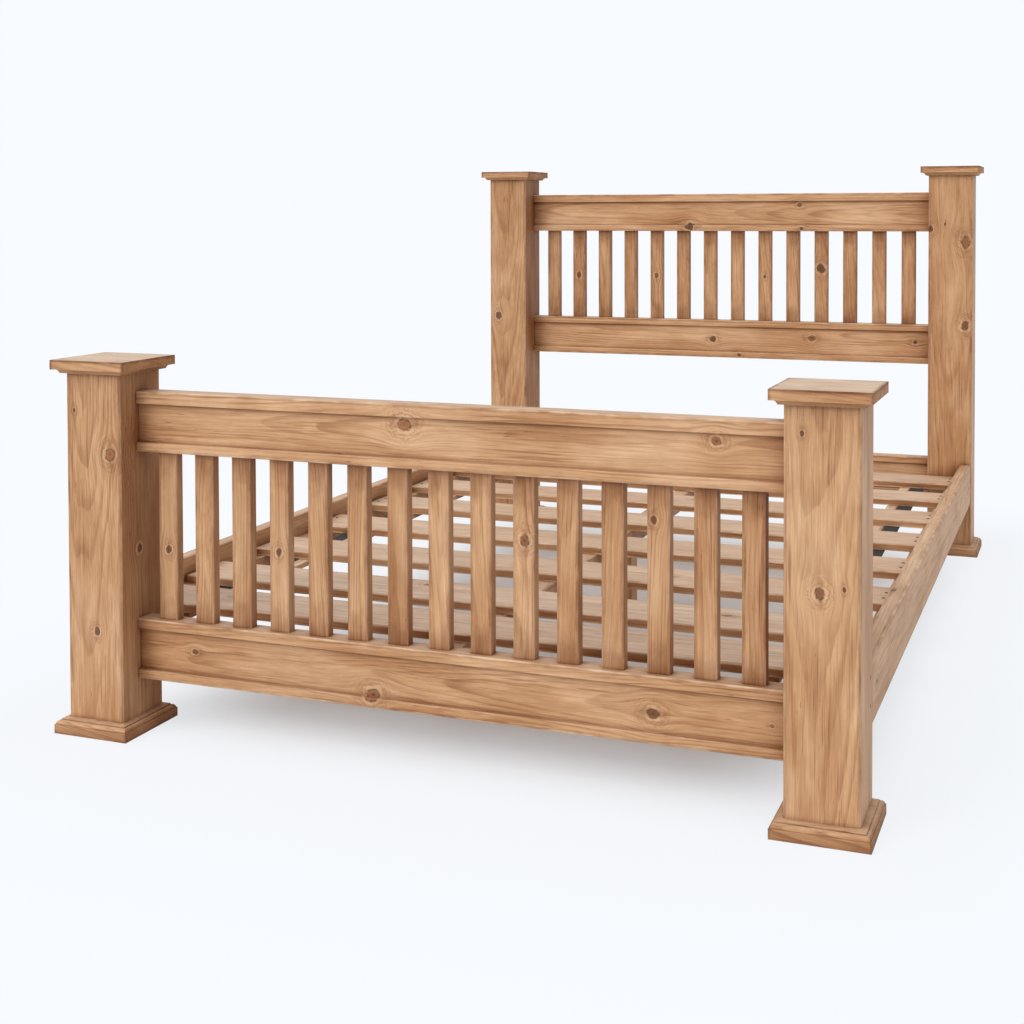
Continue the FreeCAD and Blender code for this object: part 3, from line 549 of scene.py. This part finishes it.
RAIL_KNOTS = {
    "foot_top_rail": [
        (-0.068, FOOT_RAIL, 0.651, "Y", 0.0108, 0.06, 0.9),
        (0.535, FOOT_RAIL, 0.651, "Y", 0.0072, 0.04, 0.7)],
    "foot_bottom_rail": [
        (-0.536, FOOT_RAIL, 0.171, "Y", 0.0050, 0.04, 0.2),
        (-0.136, FOOT_RAIL, 0.131, "Y", 0.0105, 0.05, 0.7),
        (0.420, FOOT_RAIL, 0.159, "Y", 0.0088, 0.06, 0.2),
        (0.634, FOOT_RAIL, 0.163, "Y", 0.0030, 0.04, 0.9)],
    "head_top_rail": [
        (-0.112, HEAD_RAIL, 1.003, "Y", 0.0110, 0.04, 0.0),
        (0.253, HEAD_RAIL, 1.072, "Y", 0.0060, 0.04, 0.5),
        (0.260, HEAD_RAIL, 0.997, "Y", 0.0045, 0.03, 0.0)],
    "head_middle_rail": [
        (-0.034, HEAD_RAIL, 0.633, "Y", 0.0082, 0.05, 0.0),
        (0.292, HEAD_RAIL, 0.645, "Y", 0.0085, 0.05, 0.6),
        (0.617, HEAD_RAIL, 0.641, "Y", 0.0060, 0.05, 0.1),
        (0.056, HEAD_RAIL, 0.584, "Y", 0.0050, 0.04, 0.1)],
    "head_lower_rail": [(0.22, 1.085, 0.215, "Y", 0.009, 0.05, 0.6)],
}
FOOT_SPINDLE_KNOTS = {
    1: [(-0.5990, FOOT_SPINDLE, 0.371, "Y", 0.0062, 0.03, 0.1)],
    4: [(-0.3440, FOOT_SPINDLE, 0.385, "Y", 0.0060, 0.03, 0.1)],
    10: [(0.1740, FOOT_SPINDLE, 0.448, "Y", 0.0085, 0.03, 0.5)],
    13: [(0.4200, FOOT_SPINDLE, 0.504, "Y", 0.0055, 0.03, 0.1)],
}
HEAD_SPINDLE_KNOTS = [
    (-0.5035, HEAD_SPINDLE, 0.838, "Y", 0.0075, 0.03, 0.1),
    (-0.2289, HEAD_SPINDLE, 0.841, "Y", 0.0065, 0.03, 0.3),
    (0.3203, HEAD_SPINDLE, 0.868, "Y", 0.0115, 0.03, 0.0),
    (0.1372, HEAD_SPINDLE, 0.840, "Y", 0.0050, 0.03, 0.1)]
SIDE_RAIL_KNOTS = {
    "left": (-0.775, 0.31, 0.2, "X", 0.008, 0.04, 0.6),
    "right": (0.767, -0.545, 0.277, "Z", 0.007, 0.04, 0.4),
}
SIDE_RAIL_PITHS = {"left": (0.03, 0.02), "right": (-0.04, 0.02)}
SIDE_RAIL_FACE, SIDE_RAIL_HALF = 0.793, 1.015
PLATE_PIN_Y, PLATE_PIN_Z = 0.951, 0.217

POST_TONES = {"post_head_left": 0.96}
RAIL_TONES = {"head_top_rail": 1.08, "head_middle_rail": 1.05,
              "foot_top_rail": 1.05, "foot_bottom_rail": 0.97}
SPINDLE_TONES = {1: 0.97, 3: 0.94, 4: 1.03, 7: 0.96, 9: 1.02, 12: 0.95, 15: 1.0}
FOOT_SPINDLES, SLATS = range(1, 16), range(1, 9)
FOOT_SPINDLE_ENDS = (0.6, 0.3985, 0.1695)
HEAD_SPINDLE_ENDS = (0.6, 0.842, 0.146)
HEAD_PITCH = 0.09153
FIRST_HEAD_SPINDLE = (-0.6165, -0.5735)  # its two sides
# The cap and the plinth of a post: the shelter range of their painted shade and dirt, and how strong the
# painted sheen on their tops is.
POST_MOULDINGS = (("cap", (0.07, 0.50), 0.62), ("plinth", (0.14, 0.70), 0.35))


def paint(obj, material):
    """Puts a material on a CAD node's own slot, so that its mesh stays as it was."""
    if obj.material_slots:
        obj.material_slots[0].link = "OBJECT"
        obj.material_slots[0].material = material
    else:
        obj.data.materials.append(material)


def dress(name, axis, pith, **settings):
    paint(nodes[name], pine(name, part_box(name), axis, pith, **settings))


def dress_posts():
    for end in ("foot", "head"):
        for side, sign in SIDES:
            name = f"post_{end}_{side}"
            dice = random.Random(name + "dice")
            # painted shade darkens each post's inner face
            dress(name, "Z", (dice.uniform(-0.03, 0.03), dice.uniform(0.03, 0.06)),
                  tilt=(dice.uniform(-0.03, 0.03), dice.uniform(0.02, 0.045)),
                  ring=0.0062, contrast=0.55, tone=POST_TONES.get(name, 1.0), knots=POST_KNOTS[name],
                  wear=0.4, outline=0.5, shaded=[("X", -sign, 0.50)])
            for part, grime, top in POST_MOULDINGS:
                name = f"{part}_{end}_{side}"
                dice = random.Random(name + "dice")
                dress(name, "X", (dice.uniform(-0.03, 0.03), dice.uniform(-0.07, -0.04)),
                      tilt=(dice.uniform(-0.1, 0.1), dice.uniform(0.05, 0.16)),
                      ring=0.0055, top=top, wear=0.12, outline=0.95, grime=grime)


def dress_rails():
    for name, knots in RAIL_KNOTS.items():
        dice = random.Random(name + "dice")
        dress(name, "X", (dice.uniform(0.025, 0.05), dice.uniform(-0.03, 0.03)),
              tilt=(dice.uniform(0.015, 0.03), dice.uniform(-0.02, 0.02)),
              ring=0.0052, tone=RAIL_TONES.get(name, 1.0), top=0.3, knots=knots)


def dress_spindles():
    """The foot spindles are nodes of their own, and the head spindles are one that repeats."""
    for number in FOOT_SPINDLES:
        name = f"foot_spindle_{number:02d}"
        dice = random.Random(name + "dice")
        # painted shade darkens each spindle's side faces, and painted shade with dirt its ends by the rails
        dress(name, "Z", (dice.uniform(-0.05, 0.05), dice.uniform(0.015, 0.05)),
              tilt=(dice.uniform(-0.05, 0.05), dice.uniform(-0.04, 0.05)), ring=0.0046,
              tone=SPINDLE_TONES.get(number, dice.uniform(0.96, 1.03)),
              knots=FOOT_SPINDLE_KNOTS.get(number, ()), wear=0.25, outline=0.55,
              shaded=[("X", 0, 0.42)], ends=FOOT_SPINDLE_ENDS)
    low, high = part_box("head_spindles")
    left, right = FIRST_HEAD_SPINDLE
    first = (Vector((left, low.y, low.z)), Vector((right, high.y, high.z)))
    # painted shade darkens the spindles' side faces, and painted shade with dirt their ends by the rails
    wood = pine("head_spindles", first, "Z", (0.01, 0.03), tilt=(0.03, 0.03), ring=0.0046,
                knots=HEAD_SPINDLE_KNOTS, pitch=HEAD_PITCH, wear=0.25, outline=0.55,
                shaded=[("X", 0, 0.42)], ends=HEAD_SPINDLE_ENDS)
    paint(nodes["head_spindles"], wood)


def dress_sides():
    """The side rails, with a small dark knot round each plate pin, and the bearers inside them."""
    for side, sign in SIDES:
        pins = [(sign * SIDE_RAIL_FACE, y, PLATE_PIN_Z, "X", 0.0042, 0.012, 0.0)
                for y in (-PLATE_PIN_Y, PLATE_PIN_Y)]
        dress("side_rail_" + side, "Y", SIDE_RAIL_PITHS[side], tilt=(0.012, 0.02), ring=0.0050, top=0.3,
              knots=[SIDE_RAIL_KNOTS[side]] + pins, seams=SIDE_RAIL_HALF)
        dress("bearer_" + side, "Y", (0.02, -0.04), tone=0.95)


def dress_slats():
    """The two slats at the foot are paler, as they are in the photograph."""
    for number in SLATS:
        name = f"slat_{number}"
        dice = random.Random(name + "dice")
        low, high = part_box(name)
        knots = [(dice.uniform(-0.6, 0.6), dice.uniform(low.y + 0.03, high.y - 0.03), SLAT_FACE, "Z",
                  dice.uniform(0.005, 0.009), 0.03, dice.uniform(0.0, 0.9))
                 for _ in range(dice.choice((1, 2, 2)))]
        # painted shade darkens each slat's front and back faces
        dress(name, "X", (dice.uniform(-0.04, 0.04), dice.uniform(-0.07, -0.035)),
              tilt=(dice.uniform(-0.02, 0.02), dice.uniform(-0.03, 0.03)), ring=0.0054,
              # the two foot slats are made lighter: painted light over the foot board's shadow
              tone=dice.uniform(1.0, 1.06) + (0.10 if number < 3 else 0.0), top=0.50, knots=knots,
              shaded=[("Y", 0, 0.5)])


def dress_hidden():
    """The centre rail, its leg, the battens and dowels, and the steel of plates, shoes and pins."""
    dress("centre_rail", "Y", (0.03, -0.03), tone=0.95)
    dress("centre_leg", "Z", (0.02, 0.05), tone=0.95)
    dress("slat_battens", "Y", (0.02, 0.03), tone=1.1, wear=0.0)
    dress("cap_dowels", "Z", (0.0, 0.02), tone=1.12, wear=0.0)
    zinc = steel("zinc_steel", colour(168, 170, 172), 0.34)
    black = steel("dark_steel", colour(40, 35, 31), 0.55)
    for name, metal in (("hook_plates", zinc), ("centre_rail_shoes", zinc), ("hook_pins", black),
                        ("plate_pins", black)):
        paint(nodes[name], metal)


def ease(obj, width=0.0007):
    """Rounds the crisp edges that a plane leaves on a planed board."""
    weld = obj.modifiers.new("weld", "WELD")
    weld.merge_threshold = 0.00002
    bevel = obj.modifiers.new("ease", "BEVEL")
    bevel.width = width
    bevel.segments = 2
    bevel.limit_method = "ANGLE"
    bevel.angle_limit = math.radians(28)


dress_posts()
dress_rails()
dress_spindles()
dress_sides()
dress_slats()
dress_hidden()
NOT_EASED = ("plinth", "cap_dowels", "hook_", "plate_pins", "centre_rail_shoes", "slat_tapes")
for node_name, node in nodes.items():
    if not node_name.startswith(NOT_EASED):
        ease(node)


# ---------------------------------------------------------------- straps, screws and staples
SLAT_MIDDLES = [sum(corner.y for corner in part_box(f"slat_{number}")) / 2 for number in SLATS]
SLAT_UNDER, SLAT_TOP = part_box("slat_1")[0].z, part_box("slat_1")[1].z
STRAP_X, STRAP_WIDTH, STRAP_THICK, STRAP_LENGTH = 0.652, 0.038, 0.0013, 2.014
STRAP_UNDER, STAPLE_STEP = 0.2214, 0.03
SLAT_SCREW_X, SLAT_SCREW_STEP = 0.738, 0.022
BEARER_X, BEARER_START, BEARER_RUN, BEARER_SCREWS = 0.729, -1.005 + 0.084, 2.01 - 0.168, 7
BEARER_SCREW_Z = 0.207
SHOE_X, SHOE_ROWS, SHOE_SCREW_RADIUS = 0.0328, (0.1885, 0.2065), 0.0034
SHOE_FACES = ((-1.0485, 1), (1.0915, -1))  # y, and the way the face looks
BATTEN_X, BATTEN_UNDER = 0.616, 0.211
SCREW_RADIUS, SCREW_RISE = 0.0038, 0.0009


def added(name, data):
    """A new object in the scene."""
    obj = bpy.data.objects.new(name, data)
    bpy.context.scene.collection.objects.link(obj)
    return obj


def finished(name, shape, material, smooth=False, replaced=()):
    """A new piece from a bmesh, on the bed's one body."""
    bmesh.ops.recalc_face_normals(shape, faces=shape.faces)
    for face in shape.faces:
        face.smooth = smooth
    mesh = bpy.data.meshes.new(name)
    shape.to_mesh(mesh)
    shape.free()
    mesh.materials.append(material)
    obj = added(name, mesh)
    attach(obj, "root")
    if replaced:
        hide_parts(*replaced)
    return obj


def circle(radius, sides):
    """The points of a regular polygon."""
    return [(radius * math.cos(2 * math.pi * k / sides), radius * math.sin(2 * math.pi * k / sides))
            for k in range(sides)]


def join_rings(shape, here, there):
    """Faces between two closed rings of vertices."""
    for k in range(len(here)):
        n = (k + 1) % len(here)
        shape.faces.new((here[k], here[n], there[n], there[k]))


def skin(shape, rows):
    """Faces along closed rings of vertices, and over the first and the last."""
    for here, there in zip(rows, rows[1:]):
        join_rings(shape, here, there)
    shape.faces.new(rows[0])
    shape.faces.new(rows[-1][::-1])


def make_strap(name, middle_x, material):
    """A webbing strap stapled under the slats: it dips a little in each gap, and its edges are bound."""
    stations, dip, beside_slat = 240, 0.0030, 0.06
    under = [(-0.5, 0.25), (-0.46, 0.0), (-0.40, 0.16), (0.0, 0.12), (0.40, 0.16), (0.46, 0.0), (0.5, 0.25)]
    over = [(0.5, 0.75), (0.46, 1.0), (0.40, 0.9), (0.0, 0.92), (-0.40, 0.9), (-0.46, 1.0), (-0.5, 0.75)]
    shape = bmesh.new()
    rows = []
    for index in range(stations + 1):
        y = -STRAP_LENGTH / 2 + STRAP_LENGTH * index / stations
        sag = 0.0
        for before, after in zip(SLAT_MIDDLES, SLAT_MIDDLES[1:]):
            low, high = before + beside_slat, after - beside_slat
            if low < y < high:
                sag = dip * math.sin(math.pi * (y - low) / (high - low)) ** 2
        top = SLAT_UNDER - 0.0001 - sag
        rows.append([shape.verts.new((middle_x + x * STRAP_WIDTH, y, top - STRAP_THICK * (1 - h)))
                     for x, h in under + over])
    skin(shape, rows)
    obj = finished(name, shape, material, smooth=True, replaced=("slat_tapes",))


def screw_head(shape, where, axis, radius):
    """A raised countersunk head with a cross recess, standing on a surface at where, facing along axis."""
    arm, reach, floor, taper, sides = 0.00055, 0.0021, 0.00022, 0.8, 24
    turn = Vector((0, 0, 1)).rotation_difference(Vector(axis)).to_matrix().to_4x4()
    spin = Matrix.Rotation(random.Random(str(where)).uniform(0, 1.57), 4, "Z")
    turn = Matrix.Translation(Vector(where)) @ turn @ spin
    rings = [[shape.verts.new(turn @ Vector((x, y, SCREW_RISE * height)))
              for x, y in circle(radius * share, sides)]
             for share, height in ((1.0, 0.0), (0.97, 0.45), (0.86, 0.78), (0.66, 0.97))]
    for outer, inner in zip(rings, rings[1:]):
        join_rings(shape, outer, inner)
    cross = [(arm, arm), (arm, reach), (-arm, reach), (-arm, arm), (-reach, arm), (-reach, -arm),
             (-arm, -arm), (-arm, -reach), (arm, -reach), (arm, -arm), (reach, -arm), (reach, arm)]
    lip = [shape.verts.new(turn @ Vector((x, y, SCREW_RISE))) for x, y in cross]
    base = [shape.verts.new(turn @ Vector((x * taper, y * taper, floor))) for x, y in cross]
    join_rings(shape, lip, base)
    shape.faces.new(base)
    edges = [shape.edges.get((ring[k], ring[(k + 1) % len(ring)])) for ring in (rings[-1], lip)
             for k in range(len(ring))]
    bmesh.ops.triangle_fill(shape, edges=edges, use_beauty=True, normal=Vector(axis))


def make_screws(name, spots, material, radius=SCREW_RADIUS):
    """Screw heads, each at (where, the way it faces)."""
    shape = bmesh.new()
    for where, axis in spots:
        screw_head(shape, where, axis, radius)
    finished(name, shape, material)


def make_staples(name, spots, material):
    """Wire staples pressed into the straps: a round crown that turns up into the wood at both ends."""
    wire, half, bend, leg, sides = 0.0005, 0.0055, 0.0012, 0.0014, 8
    rise = [(-half, leg), (-half, bend * 0.5), (-half + bend * 0.3, bend * 0.12), (-half + bend, 0.0)]
    path = rise + [(-across, up) for across, up in reversed(rise)]
    shape = bmesh.new()
    for x, y, z in spots:
        rows = []
        for k, (across, up) in enumerate(path):
            before, after = path[max(k - 1, 0)], path[min(k + 1, len(path) - 1)]
            heading = Vector((after[0] - before[0], 0, after[1] - before[1])).normalized()
            normal = Vector((-heading.z, 0, heading.x))
            centre = Vector((x + across, y, z + up))
            rows.append([shape.verts.new(centre + wire * (c * normal + s * Vector((0, 1, 0))))
                         for c, s in circle(1, sides)])
        skin(shape, rows)
    finished(name, shape, material, smooth=True)


def make_fixings():
    """The straps under the slats, and the screws and staples whose heads show."""
    tape = webbing("black_webbing")
    screw = steel("screw_steel", colour(92, 84, 74), 0.40, (500.0, 500.0, 500.0))
    up, down, signs = (0, 0, 1), (0, 0, -1), (-1, 1)
    for side, sign in SIDES:
        make_strap("strap_" + side, sign * STRAP_X, tape)
    spots = [((sign * SLAT_SCREW_X, middle + off, SLAT_TOP), up)
             for sign in signs for middle in SLAT_MIDDLES for off in (-SLAT_SCREW_STEP, SLAT_SCREW_STEP)]
    make_screws("slat_screws", spots, screw)
    spots = [((sign * BEARER_X, BEARER_START + k * BEARER_RUN / (BEARER_SCREWS - 1), BEARER_SCREW_Z),
              (-sign, 0, 0)) for sign in signs for k in range(BEARER_SCREWS)]
    make_screws("bearer_screws", spots, screw)
    spots = [((sign * SHOE_X, y, z), (0, way, 0))
             for sign in signs for y, way in SHOE_FACES for z in SHOE_ROWS]
    make_screws("shoe_screws", spots, screw, SHOE_SCREW_RADIUS)
    spots = [((sign * BATTEN_X, middle, BATTEN_UNDER), down) for sign in signs for middle in SLAT_MIDDLES]
    make_screws("batten_screws", spots, screw)
    spots = [(sign * STRAP_X, middle + off, STRAP_UNDER)
             for sign in signs for middle in SLAT_MIDDLES for off in (-STAPLE_STEP, STAPLE_STEP)]
    make_staples("strap_staples", spots, screw)


# ---------------------------------------------------------------- floor, light and camera
def backdrop_rays(net):
    """1 for rays that see the backdrop: straight from the camera, in a gloss or through glass."""
    rays = net.add("LightPath").outputs
    return net.math("MAXIMUM", rays["Is Camera Ray"],
                    net.math("MAXIMUM", rays["Is Glossy Ray"], rays["Is Transmission Ray"]))


def floor_material():
    """Pale all over: under the bed it shows the full shadow, and away from it fades into the backdrop."""
    half_wide, half_long = 0.80, 1.15
    material, net = new_material("pale_floor")
    point = net.add("TexCoord").outputs["Object"]
    cloudy = net.noise(net.stretch(point, 2.0), 2.0)
    diffuse = net.add("BsdfDiffuse", {"Color": net.blend(cloudy, *FLOOR_COLOURS)})
    glow = net.add("Emission", {"Color": BACKDROP, "Strength": 1.0})
    x, y, _ = net.split(point)
    wide, far = net.math("ABSOLUTE", x), net.math("ABSOLUTE", y)
    under = net.times(net.step(wide, 0.40, 0.85, 1.0, 0.0), net.step(far, 0.70, 1.20, 1.0, 0.0))
    beside = net.join(net.math("MAXIMUM", net.plus(wide, -half_wide), 0.0),
                      net.math("MAXIMUM", net.plus(far, -half_long), 0.0), 0.0)
    fade = net.step(net.vector("LENGTH", beside), 0.0, 0.8, 0.85, 1.0)
    fade = net.times(fade, net.math("SUBTRACT", 1.0, under))
    seen = net.times(backdrop_rays(net), fade)
    net.show(net.add("MixShader", {0: seen, 1: diffuse.outputs[0], 2: glow.outputs[0]}))
    return material


def make_floor():
    """A wide round floor, a hair under the plinths."""
    radii, sides, gap = (1.5, 3.0, 6.0, 12.0, 30.0, 80.0), 48, 0.0005
    shape = bmesh.new()
    rows = [[shape.verts.new((x, y, 0)) for x, y in circle(radius, sides)] for radius in radii]
    hub = shape.verts.new((0, 0, 0))
    for k in range(sides):
        n = (k + 1) % sides
        shape.faces.new((hub, rows[0][k], rows[0][n]))
        for inner, outer in zip(rows, rows[1:]):
            shape.faces.new((inner[k], outer[k], outer[n], inner[n]))
    mesh = bpy.data.meshes.new("floor")
    shape.to_mesh(mesh)
    shape.free()
    mesh.materials.append(floor_material())
    obj = added("floor", mesh)
    obj.location.z = -gap


def make_world():
    """Soft light from all round, and the plain backdrop for rays that see it."""
    world = bpy.data.worlds.new("studio")
    bpy.context.scene.world = world
    world.use_nodes = True
    world.node_tree.nodes.clear()
    net = Net(world.node_tree)
    soft = net.add("Background", {"Color": SOFT_LIGHT, "Strength": 0.55})
    plain = net.add("Background", {"Color": BACKDROP, "Strength": 1.0})
    mixed = net.add("MixShader", {0: backdrop_rays(net), 1: soft.outputs[0], 2: plain.outputs[0]})
    net.show(mixed, "OutputWorld")


def make_sun(name, towards, strength, angle):
    """A wide sun that stands in the direction towards."""
    lamp = bpy.data.lights.new(name, "SUN")
    lamp.energy = strength
    lamp.angle = math.radians(angle)
    lamp.color = SUN_TINT
    obj = added(name, lamp)
    obj.rotation_mode = "QUATERNION"
    obj.rotation_quaternion = Vector(towards).to_track_quat("Z", "Y")


def make_camera():
    """The photograph's camera: nearly level, with the frame shifted down to take in the feet."""
    data = bpy.data.cameras.new("camera")
    data.lens, data.sensor_width = 50.77, 36.0
    data.shift_x, data.shift_y = -0.0569, -0.2534
    data.clip_start, data.clip_end = 0.05, 200.0
    camera = added("camera", data)
    camera.location = (1.1573, -3.5188, 1.0456)
    camera.rotation_euler = [math.radians(angle) for angle in (88.4643, 0.1240, 20.1252)]
    bpy.context.scene.camera = camera


make_fixings()
make_floor()
make_world()
make_sun("key", (-0.55, -0.80, 0.62), 1.35, 35)
make_sun("top", (0.15, -0.25, 1.0), 0.60, 50)
make_camera()
bpy.context.scene.view_settings.view_transform = "Standard"
